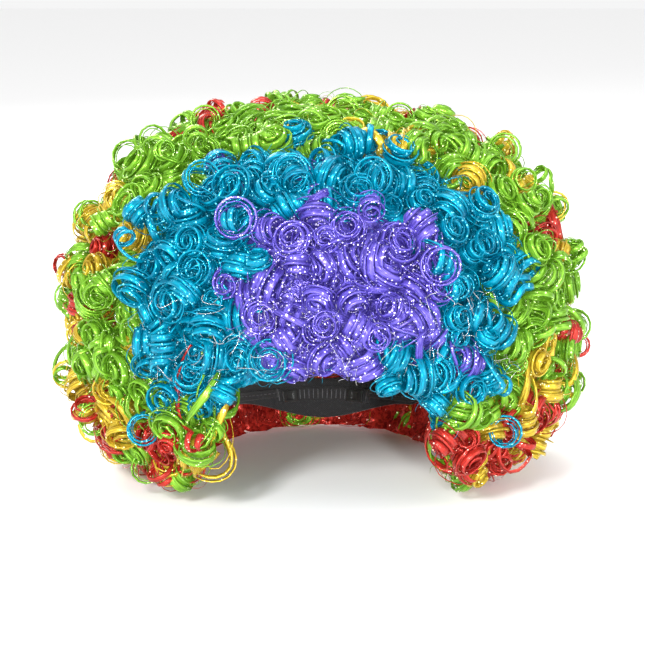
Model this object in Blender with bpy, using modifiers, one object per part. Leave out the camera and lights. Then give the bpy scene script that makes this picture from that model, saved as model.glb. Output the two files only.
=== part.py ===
"""Curly costume wig: a stretch cap with sewn weft rows, each row carrying a ring of curls.

Metres, +Z up. The face opening looks along -Y, the wearer's left is +X. The wig stands on the
lowest curls, which end in one plane at z = 0, under the middle of its outer box.
Every layer is an offset of one head surface, an egg about CENTRE.
"""

from math import acos, asin, atan2, cos, degrees, hypot, pi, radians, sin, sqrt

import bmesh
import bpy
from mathutils import Matrix, Vector

# ---------------------------------------------------------------- driving sizes
CENTRE = Vector((0.0, 0.0, 0.083))      # middle of the wearer's skull
HEAD_HALF_WIDTH = 0.077
HEAD_HALF_LENGTH = 0.098
HEAD_UP = 0.090                         # skull above CENTRE
HEAD_DOWN = 0.160                       # the egg runs on below as the neck

PUFF_HALF_WIDTH = 0.1490                # outer dome of the curls
PUFF_HALF_LENGTH = 0.1420
PUFF_UP = 0.1330
PUFF_UP_POWER = 2.6                     # over 2, so the crown is boxier than an egg
PUFF_DOWN = 0.0980
PUFF_DOWN_POWER = 3

ROWS = (                                # colour of each weft row, forehead to nape
    ("purple", 2),
    ("blue", 2),
    ("green", 3),
    ("yellow", 2),
    ("red", 6),
)
ROW_COUNT = sum(count for _, count in ROWS)
ROW_STEP = pi / ROW_COUNT               # each row's width about the forehead axis
ROW_SEGMENTS = 24
ROW_GAP = radians(0.45)                 # clear space between neighbouring rows
FOREHEAD_TILT = radians(22)             # the forehead axis rises this much from -Y

NET_THICK = 0.0008
RIBBON_BASE, RIBBON_THICK, RIBBON_WIDTH = 0.0016, 0.0008, 0.010
TRACK_BASE, TRACK_THICK, TRACK_WIDTH = 0.0034, 0.0015, 0.006
CURL_BASE = 0.0066                      # curls begin this far off the head
LEAST_CURL_DEPTH = 0.010
BAND_THICK = 0.0016
RIM_GAP = 0.0014

FRONT_BAND_END = radians(70)
FRONT_BAND_HEIGHT = 0.012
NAPE_BAND_START = radians(105)
NAPE_BAND_HEIGHT = 0.022

TAB_MIDDLE, TAB_HALF_ANGLE = radians(88), radians(11)
TAB_HEIGHT = 0.034
STAY_WIDTH, STAY_THICK = 0.005, 0.0008

FACE_HALF_WIDTH = 0.066                 # opening in the curls for the face
FACE_TOP = 0.088
FACE_SHOULDER = 0.050                   # height where the opening's round top begins
FACE_BACK = -0.020
FACE_FLARE = 0.28                       # how much wider it is where it meets the floor

NAPE_AXIS_Y = 0.0343                    # centre of the nape's curve, where the hooks turn
TAPE_MIDDLE_Z, TAPE_HEIGHT, TAPE_HALF_ANGLE = 0.0230, 0.009, radians(33)
TAPE_INSET, TAPE_THICK = 0.0006, 0.0008
HOOK_INSET, HOOK_THICK, HOOK_HEIGHT = 0.0020, 0.0012, 0.0075
HOOK_START, HOOK_END = radians(17), radians(28)
STRAP_HEIGHT, STRAP_THICK = 0.006, 0.0009
LABEL_INSET = 0.0022
STRAP_NEAR, STRAP_FAR = radians(161.0), radians(112)

COLOURS = {
    "purple": (0.15, 0.11, 0.50),
    "blue": (0.01, 0.22, 0.40),
    "green": (0.17, 0.38, 0.07),
    "yellow": (0.40, 0.33, 0.06),
    "red": (0.42, 0.05, 0.04),
    "net": (0.02, 0.02, 0.022),
    "elastic": (0.03, 0.03, 0.033),
    "hook": (0.04, 0.04, 0.04),
    "label": (0.75, 0.74, 0.70),
}
ROUGHNESS = {"net": 0.9, "elastic": 0.8, "hook": 0.35, "label": 0.85}


# ---------------------------------------------------------------- surfaces
def head_radius(way, offset=0.0):
    """Distance from CENTRE to the head surface, plus an offset, along a unit direction."""
    height = HEAD_UP if way.z > 0 else HEAD_DOWN
    squeezed = (way.x / HEAD_HALF_WIDTH, way.y / HEAD_HALF_LENGTH, way.z / height)
    return 1 / sqrt(sum(part * part for part in squeezed)) + offset


def puff_radius(way):
    """Distance from CENTRE to the outer dome of the curls, found by halving."""
    low, high = 0.05, 0.30
    for _ in range(40):
        middle = (low + high) / 2
        flat = hypot(middle * way.x / PUFF_HALF_WIDTH, middle * way.y / PUFF_HALF_LENGTH)
        if way.z > 0:
            size = flat ** PUFF_UP_POWER + (middle * way.z / PUFF_UP) ** PUFF_UP_POWER
        else:
            size = flat ** 2 + (-middle * way.z / PUFF_DOWN) ** PUFF_DOWN_POWER
        if size > 1:
            high = middle
        else:
            low = middle
    return low


def direction(around, up):
    """Unit direction at an angle around +Z from the front (-Y), and an angle above level."""
    return Vector((sin(around) * cos(up), -cos(around) * cos(up), sin(up)))


def on_head(way, offset=0.0):
    return CENTRE + way * head_radius(way, offset)


def rim_angle(around):
    """Height of the cap's edge as an angle above level: high in front, low at the nape."""
    knots = ((0, 15), (45, 11), (80, -2), (105, -7), (140, -22), (180, -28))
    turn = degrees(abs(around))
    for (a, va), (b, vb) in zip(knots, knots[1:]):
        if turn <= b + 1e-6:
            share = (turn - a) / (b - a)
            smooth = share * share * (3 - 2 * share)
            return radians(va + (vb - va) * smooth)
    return radians(knots[-1][1])


def forehead_direction(polar, turn):
    """Unit direction at a polar angle from the forehead axis, turned from the crown side."""
    axis = Vector((0, -cos(FOREHEAD_TILT), sin(FOREHEAD_TILT)))
    crown = Vector((0, sin(FOREHEAD_TILT), cos(FOREHEAD_TILT)))
    across = Vector((1, 0, 0))
    return axis * cos(polar) + (crown * cos(turn) + across * sin(turn)) * sin(polar)


# ---------------------------------------------------------------- scene helpers
def clear_scene():
    for thing in list(bpy.data.objects):
        bpy.data.objects.remove(thing, do_unlink=True)


def new_collection(name):
    group = bpy.data.collections.new(name)
    bpy.context.scene.collection.children.link(group)
    return group


def material(name):
    made = bpy.data.materials.get(name)
    if made is None:
        made = bpy.data.materials.new(name)
        made.use_nodes = True
        shader = made.node_tree.nodes["Principled BSDF"]
        shader.inputs["Base Color"].default_value = (*COLOURS[name], 1)
        shader.inputs["Roughness"].default_value = ROUGHNESS.get(name, 0.3)
    return made


def add_object(name, bm, group, colour=None, origin=Vector()):
    """Turns a bmesh into a named object whose origin is at the given point."""
    bmesh.ops.translate(bm, verts=bm.verts, vec=-origin)
    mesh = bpy.data.meshes.new(name)
    bm.to_mesh(mesh)
    bm.free()
    made = bpy.data.objects.new(name, mesh)
    made.location = origin
    group.objects.link(made)
    if colour:
        mesh.materials.append(material(colour))
    return made


def solidify(target, thick):
    wall = target.modifiers.new("Wall", "SOLIDIFY")
    wall.thickness = thick
    wall.offset = 1
    wall.use_even_offset = False


def cut(target, cutter):
    notch = target.modifiers.new("Cut", "BOOLEAN")
    notch.operation = "DIFFERENCE"
    notch.solver = "EXACT"
    notch.object = cutter


def strip(name, place, steps_long, steps_wide, thick, colour, origin=Vector()):
    """A woven strip: a flat grid bent by place(u, v), u and v from 0 to 1, then thickened."""
    bm = bmesh.new()
    bmesh.ops.create_grid(bm, x_segments=steps_long, y_segments=steps_wide, size=0.5)
    for corner in bm.verts:
        corner.co = place(corner.co.x + 0.5, corner.co.y + 0.5)
    bm.normal_update()
    outward = sum(face.normal.dot(face.calc_center_median() - CENTRE) for face in bm.faces)
    if outward < 0:
        bmesh.ops.reverse_faces(bm, faces=bm.faces)
    made = add_object(name, bm, parts, colour, origin)
    solidify(made, thick)
    return made


# ---------------------------------------------------------------- cutters
def make_floor_cutter():
    """Everything below the plane that the wig stands on."""
    bm = bmesh.new()
    bmesh.ops.create_cube(bm, size=1)
    bmesh.ops.scale(bm, vec=(0.6, 0.6, 0.2), verts=bm.verts)
    bmesh.ops.translate(bm, vec=(0, 0, -0.1), verts=bm.verts)
    return as_cutter(add_object("floor_cutter", bm, cutters))


def make_face_cutter():
    """The round-topped opening that leaves the face free of curls."""
    rise = FACE_TOP - FACE_SHOULDER
    deep = 0.2
    bm = bmesh.new()
    bmesh.ops.create_cone(
        bm, cap_ends=True, segments=32, radius1=1, radius2=1, depth=deep,
        matrix=Matrix.Rotation(pi / 2, 4, "X"),
    )
    for corner in bm.verts:
        side, up = corner.co.x, corner.co.z
        drop = 0.09 * up if up < 0 else 0
        if up < 0:                      # nearly straight sides below the shoulder, past the floor
            side = max(-1, min(1, 2.5 * side))
        corner.co.x = FACE_HALF_WIDTH * side * (1 - FACE_FLARE * drop / FACE_SHOULDER)
        corner.co.z = FACE_SHOULDER + (rise * up if up > 0 else drop)
        corner.co.y += FACE_BACK - deep / 2
    return as_cutter(add_object("face_cutter", bm, cutters))


def as_cutter(thing):
    thing.hide_render = True
    thing.display_type = "WIRE"
    return thing


# ---------------------------------------------------------------- the cap
def make_net():
    """Stretch net over the crown, down to the rim."""
    bm = bmesh.new()
    bmesh.ops.create_uvsphere(bm, u_segments=32, v_segments=18, radius=1)
    below = [face for face in bm.faces if face.calc_center_median().z < 0]
    bmesh.ops.delete(bm, geom=below, context="FACES")
    for corner in bm.verts:
        around = atan2(corner.co.x, -corner.co.y)
        down = acos(min(1, corner.co.z)) / (pi / 2)
        up = pi / 2 - down * (pi / 2 - rim_angle(around))
        corner.co = on_head(direction(around, up))
    solidify(add_object("crown_net", bm, parts, "net"), NET_THICK)


def below_rim(around, drop, offset=0.0):
    """A point on the head a given distance below the cap's edge."""
    edge = on_head(direction(around, rim_angle(around)), offset)
    up = rim_angle(around) - drop / (edge - CENTRE).length
    return on_head(direction(around, up), offset)


def make_bands():
    """The elastic edge of the cap: one band over the forehead, one round the nape."""
    def front(u, v):
        around = FRONT_BAND_END * (2 * u - 1)
        return below_rim(around, RIM_GAP + FRONT_BAND_HEIGHT * v)

    def nape(u, v):
        around = pi + (pi - NAPE_BAND_START) * (2 * u - 1)
        if around > pi:
            around -= 2 * pi
        return below_rim(around, RIM_GAP + NAPE_BAND_HEIGHT * v)

    strip("front_band", front, 24, 1, BAND_THICK, "elastic")
    strip("nape_band", nape, 30, 2, BAND_THICK, "elastic")


def make_ribbons():
    """Elastic ribbons from the front band over the crown to the nape band."""
    spread = (("centre", 0), ("inner_left", 17), ("outer_left", 35),
              ("inner_right", -17), ("outer_right", -35))
    for place_name, lean in spread:
        sideways = radians(lean)
        start = radians(19 + abs(lean) * 0.12)
        end = radians(203 - abs(lean) * 0.25)

        def place(u, v, sideways=sideways, start=start, end=end):
            along = start + (end - start) * u
            way = Vector((sin(sideways), -cos(sideways) * cos(along), cos(sideways) * sin(along)))
            across = Vector((1, 0, 0)) - way * way.x
            point = on_head(way, RIBBON_BASE) + across.normalized() * RIBBON_WIDTH * (v - 0.5)
            back = point - CENTRE
            return on_head(back.normalized(), RIBBON_BASE)

        strip(f"ribbon_{place_name}", place, 22, 1, RIBBON_THICK, "elastic")


def make_ear_tabs():
    """Tabs that lie in front of the ears, each stiffened by a stay, hinged at the cap's edge."""
    for side, sign in (("left", 1), ("right", -1)):
        middle = sign * TAB_MIDDLE
        hinge = below_rim(middle, RIM_GAP)

        def tab(u, v, middle=middle):
            narrow = 1 - 0.45 * v * v
            around = middle + TAB_HALF_ANGLE * (2 * u - 1) * narrow
            start = rim_angle(middle)
            reach = TAB_HEIGHT * v / head_radius(direction(middle, start))
            return on_head(direction(around, start - radians(4) - reach))

        def stay(u, v, middle=middle):
            around = middle + STAY_WIDTH / HEAD_HALF_WIDTH * (u - 0.5)
            start = rim_angle(middle)
            reach = TAB_HEIGHT * (0.12 + 0.76 * v) / head_radius(direction(middle, start))
            return on_head(direction(around, start - radians(4) - reach), BAND_THICK + 0.0005)

        strip(f"ear_tab_{side}", tab, 6, 5, BAND_THICK, "elastic", hinge)
        strip(f"ear_stay_{side}", stay, 1, 5, STAY_THICK, "hook", hinge)


# ---------------------------------------------------------------- the size adjuster
def nape_radius(height):
    """Distance from the nape's own axis to the head surface at a height."""
    drop = (CENTRE.z - height) / HEAD_DOWN
    return HEAD_HALF_LENGTH * sqrt(1 - drop * drop) - NAPE_AXIS_Y


def round_nape(turn, height, inset):
    radius = nape_radius(height) - inset
    return Vector((radius * sin(turn), NAPE_AXIS_Y + radius * cos(turn), height))


def make_adjuster():
    """Two elastic straps, each ending in a hook that slides along a tape of loops."""
    low = TAPE_MIDDLE_Z - TAPE_HEIGHT / 2

    def tape(u, v):
        turn = TAPE_HALF_ANGLE * (2 * u - 1)
        return round_nape(turn, low + TAPE_HEIGHT * v, TAPE_INSET + TAPE_THICK)

    strip("loop_tape", tape, 16, 1, TAPE_THICK, "elastic")

    for side, sign in (("left", 1), ("right", -1)):
        def hook(u, v, sign=sign):
            turn = sign * (HOOK_START + (HOOK_END - HOOK_START) * u)
            height = TAPE_MIDDLE_Z + HOOK_HEIGHT * (v - 0.5)
            return round_nape(turn, height, HOOK_INSET + HOOK_THICK)

        def strap(u, v, sign=sign):
            around = sign * (STRAP_NEAR + (STRAP_FAR - STRAP_NEAR) * u)
            inset = 0.0032 - 0.0016 * u
            level = on_head(direction(around, 0))
            drop = (TAPE_MIDDLE_Z + STRAP_HEIGHT * (v - 0.5) + 0.016 * u * u) - CENTRE.z
            up = asin(drop / hypot(drop, (level - CENTRE).length * 0.94))
            return on_head(direction(around, up), -inset)

        turning = Vector((0, NAPE_AXIS_Y, TAPE_MIDDLE_Z))
        strip(f"adjuster_hook_{side}", hook, 6, 3, HOOK_THICK, "hook", turning)
        strip(f"adjuster_strap_{side}", strap, 16, 1, STRAP_THICK, "elastic")


def make_label():
    """A small sewn label inside the nape, above the loop tape."""
    def place(u, v):
        around = pi + radians(9) * (2 * u - 1)
        if around > pi:
            around -= 2 * pi
        return on_head(direction(around, radians(-18 + 9 * v)), -LABEL_INSET)

    strip("blank_label", place, 6, 1, 0.0004, "label")


# ---------------------------------------------------------------- the weft rows
def make_tracks():
    """The sewn tape of each weft row, along the middle of its ring of curls."""
    number = 0
    for colour, count in ROWS:
        for _ in range(count):
            number += 1
            make_track(f"weft_tape_{number:02d}_{colour}", colour, (number - 0.5) * ROW_STEP)


def above_rim(way, margin):
    around = atan2(way.x, -way.y)
    return asin(max(-1, min(1, way.z))) > rim_angle(around) + margin


def make_track(name, colour, polar):
    step = 2 * pi / ROW_SEGMENTS
    margin = radians(4)
    reach = 0
    while reach < ROW_SEGMENTS // 2 and above_rim(
        forehead_direction(polar, (reach + 1) * step), margin
    ):
        reach += 1
    whole = reach == ROW_SEGMENTS // 2
    span = pi - step / 4 if whole else reach * step
    half = TRACK_WIDTH / 2 / head_radius(forehead_direction(polar, 0))

    def place(u, v):
        way = forehead_direction(polar + half * (2 * v - 1), span * (2 * u - 1))
        return on_head(way, TRACK_BASE)

    strip(name, place, 2 * reach, 1, TRACK_THICK, colour)


def make_curls(floor_cutter, face_cutter):
    """A ring of curls for each row, from the cap out to the dome."""
    number = 0
    for colour, count in ROWS:
        for _ in range(count):
            number += 1
            ring = make_curl_ring(f"curls_{number:02d}_{colour}", colour, number - 1)
            if ring_reaches(ring, floor_cutter):
                cut(ring, floor_cutter)
            if ring_reaches(ring, face_cutter):
                cut(ring, face_cutter)


def ring_reaches(ring, cutter):
    """Whether the ring's box and the cutter's box meet."""
    def box(thing):
        spots = [vertex.co + thing.location for vertex in thing.data.vertices]
        return [(min(s[i] for s in spots), max(s[i] for s in spots)) for i in range(3)]

    return all(a[0] < b[1] and b[0] < a[1] for a, b in zip(box(ring), box(cutter)))


def make_curl_ring(name, colour, index):
    """One latitude band of a sphere about the forehead axis, drawn out to the dome."""
    bm = bmesh.new()
    bmesh.ops.create_uvsphere(bm, u_segments=ROW_SEGMENTS, v_segments=ROW_COUNT, radius=1)
    low, high = index * ROW_STEP, (index + 1) * ROW_STEP

    def polar_of(spot):
        return acos(max(-1, min(1, spot.normalized().z)))

    outside = [face for face in bm.faces
               if not low < polar_of(face.calc_center_median()) < high]
    bmesh.ops.delete(bm, geom=outside, context="FACES")
    shell = bmesh.ops.extrude_face_region(bm, geom=bm.faces[:])
    outer = {item for item in shell["geom"] if isinstance(item, bmesh.types.BMVert)}
    for corner in bm.verts:
        polar, turn = polar_of(corner.co), atan2(corner.co.x, corner.co.y)
        if 1e-4 < polar < pi - 1e-4:
            inward = 1 if polar < (low + high) / 2 else -1
            polar += inward * ROW_GAP / 2
        way = forehead_direction(polar, turn)
        radius = head_radius(way, CURL_BASE)
        if corner in outer:
            radius = max(puff_radius(way), radius + LEAST_CURL_DEPTH)
        corner.co = CENTRE + way * radius
    bmesh.ops.recalc_face_normals(bm, faces=bm.faces)
    return add_object(name, bm, parts, colour)


# ---------------------------------------------------------------- build
clear_scene()
parts = new_collection("costume_wig")
cutters = new_collection("cutters")
floor_box = make_floor_cutter()
face_box = make_face_cutter()
make_net()
make_bands()
make_ribbons()
make_ear_tabs()
make_adjuster()
make_label()
make_tracks()
make_curls(floor_box, face_box)
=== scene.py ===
# %% [markdown]
# # A curly costume wig
# The wig is a stretch cap with sewn rows of glossy synthetic ringlets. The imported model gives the
# frame: the cap, its rows, tabs and adjuster. This lesson dresses it, one piece or finish a cell.

# %% Load the frame
from math import acos, asin, atan2, cos, degrees, pi, radians, sin, sqrt

import bmesh
import bpy
import numpy as np
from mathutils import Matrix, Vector


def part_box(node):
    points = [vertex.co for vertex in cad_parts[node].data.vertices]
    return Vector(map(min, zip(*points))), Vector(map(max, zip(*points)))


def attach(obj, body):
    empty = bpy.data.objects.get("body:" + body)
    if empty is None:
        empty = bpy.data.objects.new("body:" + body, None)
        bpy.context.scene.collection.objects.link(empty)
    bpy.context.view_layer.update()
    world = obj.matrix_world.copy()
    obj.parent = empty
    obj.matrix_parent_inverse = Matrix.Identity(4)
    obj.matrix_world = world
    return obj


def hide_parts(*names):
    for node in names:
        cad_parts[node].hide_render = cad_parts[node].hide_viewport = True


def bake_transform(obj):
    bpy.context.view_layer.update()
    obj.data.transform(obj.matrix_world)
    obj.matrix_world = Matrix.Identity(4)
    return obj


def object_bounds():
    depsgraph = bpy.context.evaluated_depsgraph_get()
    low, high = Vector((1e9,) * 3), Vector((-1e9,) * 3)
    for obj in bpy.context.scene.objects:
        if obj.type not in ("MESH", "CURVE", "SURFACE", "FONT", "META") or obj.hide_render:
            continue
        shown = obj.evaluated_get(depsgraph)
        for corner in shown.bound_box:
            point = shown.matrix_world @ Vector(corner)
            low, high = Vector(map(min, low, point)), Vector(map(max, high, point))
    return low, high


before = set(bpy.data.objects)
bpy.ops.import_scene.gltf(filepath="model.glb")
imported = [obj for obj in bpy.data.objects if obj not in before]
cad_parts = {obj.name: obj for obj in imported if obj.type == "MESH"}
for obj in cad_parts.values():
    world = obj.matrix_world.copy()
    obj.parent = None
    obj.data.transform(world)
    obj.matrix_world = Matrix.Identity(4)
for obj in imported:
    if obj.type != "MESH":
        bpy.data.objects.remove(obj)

cad_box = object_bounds()
scene = bpy.context.scene

# %% [markdown]
# Every layer of a wig follows the head, so the head is written once as a formula: an egg round
# the middle of the skull. The frame's own boxes give its half width, half length and height.

# %% Head and puff
NET_THICK = 0.0008
SKULL_MIDDLE = 0.083
NECK_DOWN = 0.160
net_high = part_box("crown_net")[1]
CENTRE = Vector((0, 0, SKULL_MIDDLE))
HEAD = np.array([net_high.x - NET_THICK, net_high.y - NET_THICK,
                 net_high.z - NET_THICK - SKULL_MIDDLE])
PUFF = np.array([cad_box[1].x, cad_box[1].y, cad_box[1].z - SKULL_MIDDLE])
PUFF_UP_POWER = 2.6
PUFF_DOWN, PUFF_DOWN_POWER = 0.098, 3
LEAST_REACH, MOST_REACH = 0.05, 0.30
HALVINGS = 24
FOREHEAD_TILT = radians(22)
ROW_COUNT = 15
ROW_STEP = pi / ROW_COUNT


def unit(rows):
    return rows / np.linalg.norm(rows, axis=-1, keepdims=True)


def head_radius(ways):
    """Distance from the skull's middle to the head's skin, for unit directions."""
    size = np.tile(HEAD, (len(ways), 1))
    size[:, 2] = np.where(ways[:, 2] > 0, HEAD[2], NECK_DOWN)
    return 1 / np.linalg.norm(ways / size, axis=1)


def puff_radius(ways):
    """Distance to the outer dome of the curls, found by halving."""
    low, high = np.full(len(ways), LEAST_REACH), np.full(len(ways), MOST_REACH)
    for _ in range(HALVINGS):
        middle = (low + high) / 2
        spot = ways * middle[:, None]
        flat = np.hypot(spot[:, 0] / PUFF[0], spot[:, 1] / PUFF[1])
        above = flat ** PUFF_UP_POWER + (np.maximum(spot[:, 2], 0) / PUFF[2]) ** PUFF_UP_POWER
        below = flat ** 2 + (np.maximum(-spot[:, 2], 0) / PUFF_DOWN) ** PUFF_DOWN_POWER
        out = np.where(ways[:, 2] > 0, above, below) > 1
        high = np.where(out, middle, high)
        low = np.where(out, low, middle)
    return low


RIM_TURNS = [0, 45, 80, 105, 140, 180]
RIM_LEVELS = [15, 11, -2, -7, -22, -28]


def rim_angle(around):
    """Height of the cap's edge as an angle above level, high in front and low at the nape."""
    count = range(len(RIM_TURNS))
    place = np.interp(np.degrees(np.abs(around)), RIM_TURNS, count)
    share = place - np.floor(place)
    smooth = share * share * (3 - 2 * share)
    return np.radians(np.interp(np.floor(place) + smooth, count, RIM_LEVELS))


print("head", HEAD.round(4), "puff", PUFF.round(4))

# %% [markdown]
# The camera and the lights come before the hair, because gloss is judged by its highlights. The
# wig is seen from the front and a little above, under a large soft light near the camera.

# %% Camera
CAMERA_RISE = radians(12)
CAMERA_DISTANCE = 1.30
AIM = Vector((0.0, 0.0, 0.0880))
camera_data = bpy.data.cameras.new("camera")
camera_data.sensor_width = 36
camera_data.lens = 123
camera = bpy.data.objects.new("camera", camera_data)
scene.collection.objects.link(camera)
back = Vector((0, -cos(CAMERA_RISE), sin(CAMERA_RISE)))
camera.location = AIM + back * CAMERA_DISTANCE
camera.rotation_euler = (-back).to_track_quat("-Z", "Y").to_euler()
scene.camera = camera


def soft_light(name, spot, size, power, colour=(1, 1, 1)):
    lamp = bpy.data.lights.new(name, "AREA")
    lamp.shape, lamp.size, lamp.energy, lamp.color = "DISK", size, power, colour
    thing = bpy.data.objects.new(name, lamp)
    thing.location = spot
    thing.rotation_euler = (CENTRE - Vector(spot)).to_track_quat("-Z", "Y").to_euler()
    scene.collection.objects.link(thing)


soft_light("key", (-0.45, -1.35, 0.75), 0.30, 27)
soft_light("flash", (0.25, -1.5, 0.35), 0.12, 15)
soft_light("fill", (1.2, -0.7, 0.6), 0.9, 8)
soft_light("rim", (-0.6, 1.1, 1.0), 0.7, 14)
soft_light("top", (0.2, 0.1, 1.5), 0.9, 9)
world = bpy.data.worlds.new("studio")
world.use_nodes = True
background = world.node_tree.nodes["Background"]
background.inputs["Color"].default_value = (1, 1, 1, 1)
background.inputs["Strength"].default_value = 0.92
scene.world = world
scene.view_settings.view_transform = "Standard"

# %% Floor
bpy.ops.object.select_all(action="DESELECT")
bpy.ops.mesh.primitive_plane_add(size=8, location=(0, 0, -0.0005))
floor = bpy.context.object
floor.name = "studio_floor"
pale = bpy.data.materials.new("studio_floor")
pale.use_nodes = True
pale_shader = pale.node_tree.nodes["Principled BSDF"]
pale_shader.inputs["Base Color"].default_value = (0.93, 0.93, 0.93, 1)
pale_shader.inputs["Roughness"].default_value = 0.9
floor.data.materials.append(pale)
print("floor:", floor.name)

# %% [markdown]
# Costume hair is a flat plastic filament. Fine lines run along every lock. Over them lie painted
# glints, tiny near-white specks that stand in for highlights, and a painted glow that lights the
# shade between the locks. All three are built once, as a node group, for all colours.

# %% Node group tools
def new_group(name, inputs, outputs):
    """A shader node group with typed sockets: inputs and outputs are (name, kind, default)."""
    group = bpy.data.node_groups.new(name, "ShaderNodeTree")
    for label, kind, default in inputs:
        made = group.interface.new_socket(label, in_out="INPUT", socket_type=kind)
        made.default_value = default
    for label, kind in outputs:
        group.interface.new_socket(label, in_out="OUTPUT", socket_type=kind)
    return group, group.nodes.new("NodeGroupInput"), group.nodes.new("NodeGroupOutput")


def node(tree, kind, links=(), **settings):
    """Adds a node, sets its properties, and links or fills its inputs by index or name."""
    made = tree.nodes.new(kind)
    for key, value in settings.items():
        setattr(made, key, value)
    for key, value in links:
        if isinstance(value, bpy.types.NodeSocket):
            tree.links.new(value, made.inputs[key])
        else:
            made.inputs[key].default_value = value
    return made


def maths(tree, operation, *values):
    return node(tree, "ShaderNodeMath", list(enumerate(values)), operation=operation).outputs[0]


def blend_colours(tree, factor, first, second):
    """A Mix node for colours. 6 and 7 are its two colour inputs, and 2 its colour output."""
    return node(tree, "ShaderNodeMix", [("Factor", factor), (6, first), (7, second)],
                data_type="RGBA").outputs[2]


# %% Fibre streaks, painted glints and painted fill light
# Painted glints: a Voronoi pattern of this scale, whose cells are near-white within this distance
# of their middles, stands in for highlights on the filament.
PAINTED_GLINT_SCALE, PAINTED_GLINT_SIZE = 850.0, 0.40
# Painted fill light: the fibre's colour, darkened by this share, is emitted, so that the shade
# between the locks never goes dark.
GLOW_CUT = 0.76


def make_fibre_group():
    """Lines along a lock, painted glints as specks, and painted fill light. Along is the place on
    the lock, in line lengths.
    """
    group, enter, leave = new_group(
        "fibre_streaks_and_painted_light",
        [("Along", "NodeSocketVector", (0, 0, 0)), ("Dark", "NodeSocketColor", (0, 0, 0, 1)),
         ("Light", "NodeSocketColor", (1, 1, 1, 1)), ("Glint", "NodeSocketColor", (1, 1, 1, 1)),
         ("Glint Amount", "NodeSocketFloat", 0.5)],
        [("Color", "NodeSocketColor"), ("Roughness", "NodeSocketFloat"),
         ("Height", "NodeSocketFloat"), ("Glow", "NodeSocketColor")])
    where = node(group, "ShaderNodeTexCoord")
    lines = node(group, "ShaderNodeTexNoise", [("Vector", enter.outputs["Along"]), ("Scale", 1.0),
                                               ("Detail", 2.0), ("Roughness", 0.6)])
    tone = node(group, "ShaderNodeTexNoise", [("Vector", where.outputs["Object"]),
                                              ("Scale", 70.0), ("Detail", 2.0)])
    # Painted glints: a share of this pattern's cells is coloured near-white and emitted, as
    # highlights.
    painted_glint_cells = node(group, "ShaderNodeTexVoronoi", [("Vector", where.outputs["Object"]),
                                                  ("Scale", PAINTED_GLINT_SCALE)])
    near = maths(group, "LESS_THAN", painted_glint_cells.outputs["Distance"], PAINTED_GLINT_SIZE)
    pick = node(group, "ShaderNodeSeparateColor", [("Color", painted_glint_cells.outputs["Color"])])
    chosen = maths(group, "LESS_THAN", pick.outputs[0], enter.outputs["Glint Amount"])
    glint = maths(group, "MULTIPLY", near, chosen)
    mixed = maths(group, "ADD", maths(group, "MULTIPLY", lines.outputs[0], 0.60),
                  maths(group, "MULTIPLY", tone.outputs[0], 0.40))
    ramp = node(group, "ShaderNodeMapRange", [("Value", mixed), ("From Min", 0.36),
                                              ("From Max", 0.66)])
    colour = blend_colours(group, ramp.outputs[0], enter.outputs["Dark"], enter.outputs["Light"])
    shown = blend_colours(group, glint, colour, enter.outputs["Glint"])
    rough = node(group, "ShaderNodeMapRange", [("Value", lines.outputs[0]), ("From Min", 0.3),
                                               ("From Max", 0.7), ("To Min", 0.18),
                                               ("To Max", 0.40)])
    # Painted fill light: a quarter of the colour is emitted, with the painted glints on top.
    soft = blend_colours(group, GLOW_CUT, colour, (0, 0, 0, 1))
    glow = blend_colours(group, glint, soft, enter.outputs["Glint"])
    group.links.new(shown, leave.inputs["Color"])
    group.links.new(rough.outputs[0], leave.inputs["Roughness"])
    group.links.new(lines.outputs[0], leave.inputs["Height"])
    group.links.new(glow, leave.inputs["Glow"])
    return group


fibre_group = make_fibre_group()


def between(dark, light):
    """The plain colour halfway between two, for viewers that don't read the nodes."""
    return (*[(a + b) / 2 for a, b in zip(dark, light)], 1)


def mottled_material(name, texture, scale, detail, colours, roughness, metallic=0.0, bump=0.0):
    """A colour that wanders between two with a texture, and a bump that follows it."""
    made = bpy.data.materials.new(name)
    made.use_nodes = True
    tree = made.node_tree
    shader = tree.nodes["Principled BSDF"]
    where = node(tree, "ShaderNodeTexCoord")
    mottle = node(tree, texture, [("Vector", where.outputs["Object"]), ("Scale", scale),
                                  ("Detail", detail)])
    first, second = colours
    colour = blend_colours(tree, mottle.outputs[0], (*first, 1), (*second, 1))
    tree.links.new(colour, shader.inputs["Base Color"])
    if bump:
        raised = node(tree, "ShaderNodeBump", [("Height", mottle.outputs[0]),
                                               ("Strength", bump), ("Distance", 0.0002)])
        tree.links.new(raised.outputs[0], shader.inputs["Normal"])
    shader.inputs["Base Color"].default_value = between(first, second)
    shader.inputs["Roughness"].default_value = roughness
    shader.inputs["Metallic"].default_value = metallic
    return made


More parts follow.
